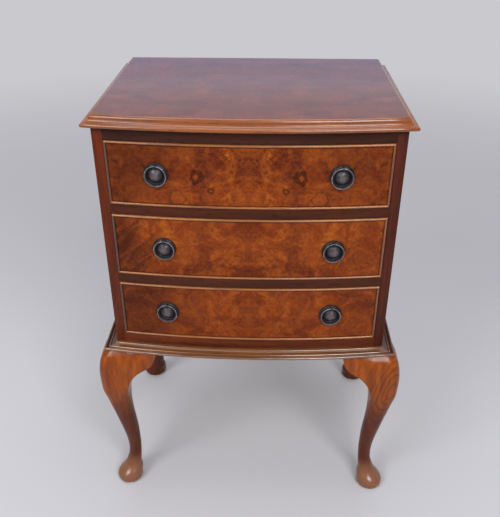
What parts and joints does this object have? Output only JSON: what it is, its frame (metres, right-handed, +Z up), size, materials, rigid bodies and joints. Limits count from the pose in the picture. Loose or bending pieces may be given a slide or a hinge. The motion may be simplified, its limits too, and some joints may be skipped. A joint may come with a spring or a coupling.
{
  "type": "bedside chest of drawers",
  "caption": "Bow-fronted burr walnut bedside chest on cabriole legs, with cock-beaded sliding drawers that each have two swinging ring pulls.",
  "frame": {"origin": "on the floor, under the middle of the overall box", "axes": "+Z up, the drawers open towards -Y, +X to the right seen from the front"},
  "size_m": [0.494, 0.3572, 0.69],
  "materials": {
    "burr_walnut": "French polished burr walnut veneer",
    "walnut": "polished straight-grained walnut",
    "dark_walnut": "dark stained and polished walnut",
    "moulding_walnut": "polished walnut moulding",
    "leg_walnut": "polished solid walnut",
    "inner_wood": "planed, unpolished",
    "plywood": "sanded plywood",
    "old_brass": "darkened, worn bright on the high spots",
    "steel": "plain"
  },
  "bodies": {
    "carcass": {"top_board": "burr_walnut", "side_left": "walnut", "side_right": "walnut", "back_panel": "plywood", "bottom_board": "inner_wood", "frieze_rail": "dark_walnut", "upper_rail": "dark_walnut", "lower_rail": "dark_walnut", "bottom_rail": "dark_walnut", "back_rail": "inner_wood", "drawer_runners": "inner_wood", "kickers": "inner_wood", "drawer_stops": "inner_wood", "base_board": "inner_wood", "base_moulding_front": "moulding_walnut", "base_moulding_left": "moulding_walnut", "base_moulding_right": "moulding_walnut", "leg_front_left": "leg_walnut", "leg_front_right": "leg_walnut", "leg_back_left": "leg_walnut", "leg_back_right": "leg_walnut", "ear_front_left": "leg_walnut", "ear_front_right": "leg_walnut", "ear_left_front": "leg_walnut", "ear_right_front": "leg_walnut", "ear_left_back": "leg_walnut", "ear_right_back": "leg_walnut", "corner_blocks": "inner_wood", "corner_screws": "steel", "back_pins": "steel"},
    "upper_drawer": {"upper_drawer_front": "burr_walnut", "upper_drawer_beads": "moulding_walnut", "upper_drawer_side_left": "inner_wood", "upper_drawer_side_right": "inner_wood", "upper_drawer_back": "inner_wood", "upper_drawer_bottom": "plywood", "upper_drawer_plates": "old_brass", "upper_drawer_nuts": "steel"},
    "upper_ring_left": {"upper_ring_left": "old_brass"},
    "upper_ring_right": {"upper_ring_right": "old_brass"},
    "middle_drawer": {"middle_drawer_front": "burr_walnut", "middle_drawer_beads": "moulding_walnut", "middle_drawer_side_left": "inner_wood", "middle_drawer_side_right": "inner_wood", "middle_drawer_back": "inner_wood", "middle_drawer_bottom": "plywood", "middle_drawer_plates": "old_brass", "middle_drawer_nuts": "steel"},
    "middle_ring_left": {"middle_ring_left": "old_brass"},
    "middle_ring_right": {"middle_ring_right": "old_brass"},
    "lower_drawer": {"lower_drawer_front": "burr_walnut", "lower_drawer_beads": "moulding_walnut", "lower_drawer_side_left": "inner_wood", "lower_drawer_side_right": "inner_wood", "lower_drawer_back": "inner_wood", "lower_drawer_bottom": "plywood", "lower_drawer_plates": "old_brass", "lower_drawer_nuts": "steel"},
    "lower_ring_left": {"lower_ring_left": "old_brass"},
    "lower_ring_right": {"lower_ring_right": "old_brass"}
  },
  "joints": [
    {"name": "upper_drawer_slide", "type": "slide", "parent": "carcass", "child": "upper_drawer", "axis": [0, -1, 0], "range_m": [0, 0.19]},
    {"name": "upper_ring_left_swing", "type": "hinge", "parent": "upper_drawer", "child": "upper_ring_left", "pos_m": [-0.12893, -0.15632, 0.6217], "axis": [-0.9965, 0.0841, 0], "range_deg": [0, 165]},
    {"name": "upper_ring_right_swing", "type": "hinge", "parent": "upper_drawer", "child": "upper_ring_right", "pos_m": [0.12893, -0.15632, 0.6217], "axis": [-0.9965, -0.0841, 0], "range_deg": [0, 165]},
    {"name": "middle_drawer_slide", "type": "slide", "parent": "carcass", "child": "middle_drawer", "axis": [0, -1, 0], "range_m": [0, 0.19]},
    {"name": "middle_ring_left_swing", "type": "hinge", "parent": "middle_drawer", "child": "middle_ring_left", "pos_m": [-0.12442, -0.15669, 0.5042], "axis": [-0.9967, 0.0811, 0], "range_deg": [0, 165]},
    {"name": "middle_ring_right_swing", "type": "hinge", "parent": "middle_drawer", "child": "middle_ring_right", "pos_m": [0.12442, -0.15669, 0.5042], "axis": [-0.9967, -0.0811, 0], "range_deg": [0, 165]},
    {"name": "lower_drawer_slide", "type": "slide", "parent": "carcass", "child": "lower_drawer", "axis": [0, -1, 0], "range_m": [0, 0.19]},
    {"name": "lower_ring_left_swing", "type": "hinge", "parent": "lower_drawer", "child": "lower_ring_left", "pos_m": [-0.12693, -0.15649, 0.39095], "axis": [-0.9966, 0.0828, 0], "range_deg": [0, 165]},
    {"name": "lower_ring_right_swing", "type": "hinge", "parent": "lower_drawer", "child": "lower_ring_right", "pos_m": [0.12693, -0.15649, 0.39095], "axis": [-0.9966, -0.0828, 0], "range_deg": [0, 165]}
  ]
}
